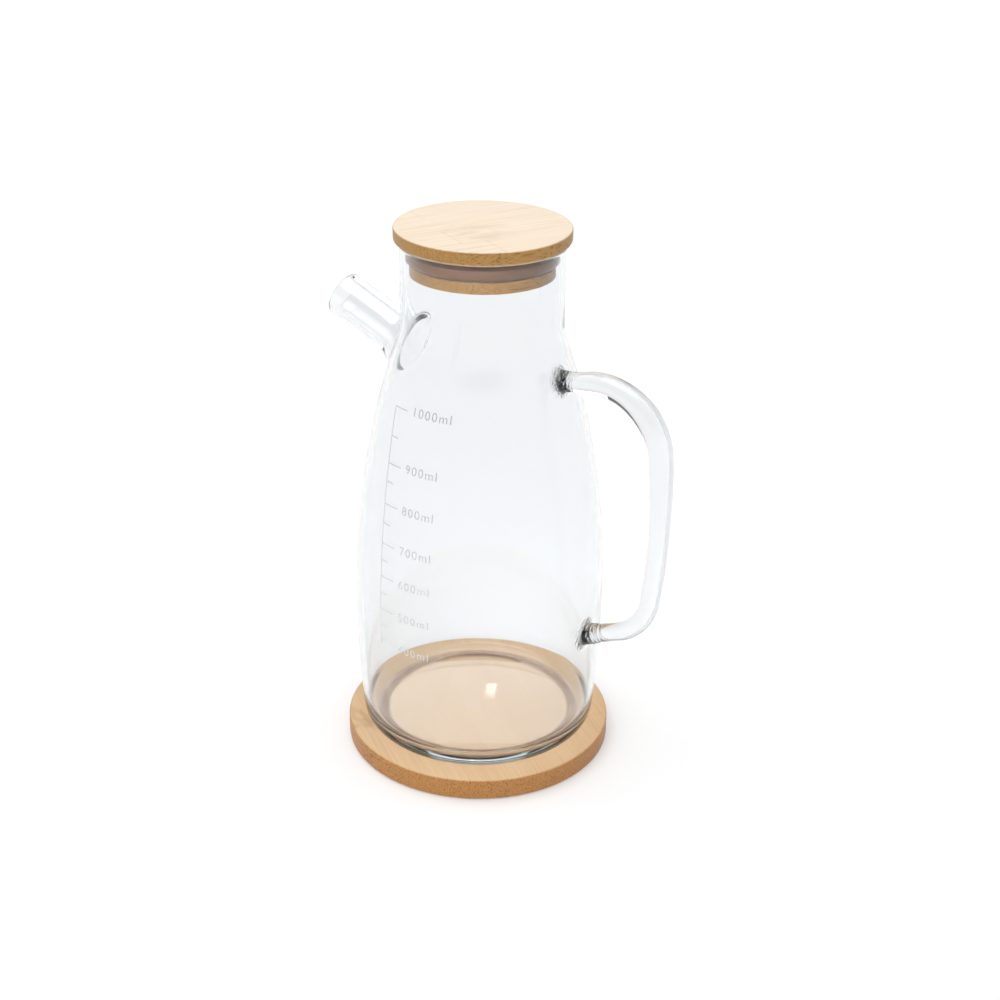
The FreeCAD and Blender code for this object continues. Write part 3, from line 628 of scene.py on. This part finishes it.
# matt enamel, its grit 0.4 mm across, worn paler towards the bottom
enamel = new_material("fired_grey_enamel")
pigment_place = add_node(enamel, "ShaderNodeTexCoord")
grain = add_node(enamel, "ShaderNodeTexNoise", {"Vector": pigment_place.outputs["Object"],
                                                "Scale": 2500.0, "Detail": 1.0})
ink = add_node(enamel, "ShaderNodeMix", data_type="RGBA",
               values={0: grain.outputs[0], 6: hex_colour("#B8BCBF"), 7: hex_colour("#A8ACAF")})
pigment_height = add_node(enamel, "ShaderNodeSeparateXYZ", {0: pigment_place.outputs["Object"]})
faded = add_node(enamel, "ShaderNodeMapRange",
                 {"Value": pigment_height.outputs["Z"], "From Min": 0.06, "From Max": 0.15,
                  "To Min": 0.8, "To Max": 0.0})
worn = add_node(enamel, "ShaderNodeMix", data_type="RGBA",
                values={0: faded.outputs[0], 6: ink.outputs[2], 7: hex_colour("#E6E8EA")})
matt = add_node(enamel, "ShaderNodeBsdfPrincipled", {"Base Color": worn.outputs[2],
                                                     "Roughness": 0.6})
add_node(enamel, "ShaderNodeOutputMaterial", {"Surface": matt.outputs[0]})


def wrap_on_wall(piece):
    """Lay a flat print, drawn in mm as sideways and up, on the outside of the glass."""
    for vert in piece.data.vertices:
        across, level, lift = vert.co.x, vert.co.y, vert.co.z
        ring = wall_radius(level) + FILM_GAP + lift
        angle = SCALE_AZIMUTH + across / ring
        vert.co = Vector((ring * math.cos(angle), ring * math.sin(angle), level + FOOT)) * MM


def bar(across, level, width, height, cuts):
    """One printed line, cut across so that it can follow the wall."""
    deselect_all()
    bpy.ops.mesh.primitive_cube_add(size=1)
    line = bpy.context.object
    line.scale = (width, height, FILM)
    line.location = (across, level, FILM / 2)
    bpy.ops.object.transform_apply(location=True, rotation=True, scale=True)
    bpy.ops.object.mode_set(mode="EDIT")
    bpy.ops.mesh.select_all(action="SELECT")
    bpy.ops.mesh.subdivide(number_cuts=cuts)
    bpy.ops.object.mode_set(mode="OBJECT")
    return line


printed = [bar(SCALE_LINE, 101.5, LINE_WIDTH, 99.8, 30)]
for amount, level in MARKS.items():
    if amount % 100 == 0:
        printed.append(bar(SCALE_LINE + LONG_MARK / 2, level, LONG_MARK, LINE_WIDTH, 4))
        deselect_all()
        slide = NUMBER_DROP + (1000 - amount) * NUMBER_SLIDE
        bpy.ops.object.text_add(location=(NUMBER_LEFT, level - slide, 0.0))
        words = bpy.context.object
        words.data.body = f"{amount}ml"
        words.data.size = NUMBER_SIZE
        words.data.space_character = 1.2
        words.data.offset = -0.03
        words.data.extrude = FILM / 2
        words.data.resolution_u = 3
        bpy.ops.object.convert(target="MESH")
        bpy.ops.object.transform_apply(location=True, rotation=True, scale=True)
        printed.append(bpy.context.object)
    else:
        printed.append(bar(SCALE_LINE + SHORT_MARK / 2, level, SHORT_MARK, LINE_WIDTH, 3))
deselect_all()
for piece in printed:
    piece.select_set(True)
bpy.context.view_layer.objects.active = printed[0]
bpy.ops.object.join()
scale_print = bpy.context.object
wrap_on_wall(scale_print)
finish_piece(scale_print, "scale_print", enamel, "glass")
scale_print.visible_shadow = False

# ---------------------------------------------------------------------------------------------
# Lid: a bamboo stopper turned in one piece.  Its plate rests on the glass rim, and the plug below
# has a groove for the seal.
# ---------------------------------------------------------------------------------------------
RIM_LEVEL = FOOT + JUG_HEIGHT
LID_RADIUS, LID_PLATE, LID_EASE, LID_UNDER_EASE = 34.6, 5.9, 0.7, 2.0
lid = turned_disc(LID_RADIUS, RIM_LEVEL, LID_PLATE, LID_EASE, LID_UNDER_EASE)
bpy.ops.object.mode_set(mode="EDIT")
bpy.ops.mesh.select_all(action="DESELECT")
bpy.ops.mesh.select_mode(type="FACE")
lid_mesh = bmesh.from_edit_mesh(lid.data)
for face in lid_mesh.faces:
    face.select_set(face.normal.z < -0.99)
bmesh.update_edit_mesh(lid.data)


def draw_in(ratio):
    """Inset the chosen round face to a smaller circle."""
    bpy.ops.mesh.extrude_region_move(TRANSFORM_OT_translate={"value": (0, 0, 0)})
    bpy.ops.transform.resize(value=(ratio, ratio, 1.0), center_override=(0, 0, 0))


def draw_down(depth):
    bpy.ops.mesh.extrude_region_move(TRANSFORM_OT_translate={"value": (0, 0, -depth * MM)})


PLUG_RADIUS, PLUG_DEPTH, PLUG_EASE = 28.4, 12.0, 0.4
GROOVE_RADIUS, GROOVE_DEPTH = 26.0, 7.6
draw_in(GROOVE_RADIUS / (LID_RADIUS - LID_UNDER_EASE))
draw_down(GROOVE_DEPTH)
draw_in(PLUG_RADIUS / GROOVE_RADIUS)
draw_down(PLUG_DEPTH - GROOVE_DEPTH - PLUG_EASE)
draw_down(PLUG_EASE)
draw_in((PLUG_RADIUS - PLUG_EASE) / PLUG_RADIUS)
bpy.ops.mesh.select_all(action="SELECT")
bpy.ops.mesh.normals_make_consistent(inside=False)
bpy.ops.object.mode_set(mode="OBJECT")
bpy.ops.object.shade_smooth_by_angle(angle=math.radians(40))
# the third colour, for the sides, is end grain darkened further by painted shade
lid_bamboo = bamboo("oiled_bamboo_lid", "#EEDBC2", "#EBD5B8", "#B78A4C", 62, 17.0,
                    (3, -8, 16, 0.2))
finish_piece(lid, "lid_stopper", lid_bamboo, "bamboo", "lid")

# ---------------------------------------------------------------------------------------------
# Seal: a ring of milky silicone, moulded, pulled into the plug's groove.  Its crown presses on
# the inside of the neck.
# ---------------------------------------------------------------------------------------------
SEAL_MIDDLE, SEAL_CROWN, SEAL_BACK = RIM_LEVEL - 4.3, 3.625, 26.02
SEAL_BOTTOM, SEAL_TOP = -2.3, 1.7
deselect_all()
bpy.ops.mesh.primitive_plane_add(size=MM)
seal = bpy.context.object
bpy.ops.object.mode_set(mode="EDIT")
bpy.ops.mesh.select_mode(type="VERT")
bpy.ops.mesh.select_all(action="SELECT")
bpy.ops.mesh.merge(type="CENTER")
crown = bend_points(NECK_RADIUS - WALL - SEAL_CROWN, 0.0, SEAL_CROWN, -39, 28, 8)
ring_outline = [(SEAL_BACK, SEAL_BOTTOM)] + crown + [(SEAL_BACK, SEAL_TOP), (SEAL_BACK, SEAL_BOTTOM)]
here = (0.0, 0.0)
for x, z in [(x, z + SEAL_MIDDLE) for x, z in ring_outline]:
    step = ((x - here[0]) * MM, 0, (z - here[1]) * MM)
    if here == (0.0, 0.0):
        bpy.ops.transform.translate(value=step)
    else:
        bpy.ops.mesh.extrude_region_move(TRANSFORM_OT_translate={"value": step})
    here = (x, z)
bpy.ops.mesh.select_all(action="SELECT")
bpy.ops.mesh.spin(steps=128, angle=2 * math.pi, center=(0, 0, 0), axis=(0, 0, 1))
bpy.ops.mesh.select_all(action="SELECT")
bpy.ops.mesh.remove_doubles(threshold=0.01 * MM)
bpy.ops.mesh.normals_make_consistent(inside=False)
bpy.ops.object.mode_set(mode="OBJECT")
bpy.ops.object.shade_smooth_by_angle(angle=math.radians(40))

# cloudy in the mass and smooth from the mould, it lets some of the bamboo's brown through
silicone = new_material("moulded_milky_silicone")
silicone_place = add_node(silicone, "ShaderNodeTexCoord")
haze = add_node(silicone, "ShaderNodeTexNoise", {"Vector": silicone_place.outputs["Object"],
                                                 "Scale": 120.0, "Detail": 2.0})
milk = add_node(silicone, "ShaderNodeMix", data_type="RGBA",
                values={0: haze.outputs[0], 6: hex_colour("#A1785D"), 7: hex_colour("#94694C")})
rubber = add_node(silicone, "ShaderNodeBsdfPrincipled", {"Base Color": milk.outputs[2],
                                                         "Roughness": 0.3, "IOR": 1.41,
                                                         "Transmission Weight": 0.35})
add_node(silicone, "ShaderNodeOutputMaterial", {"Surface": rubber.outputs[0]})
finish_piece(seal, "seal_ring", silicone, "silicone", "seal")
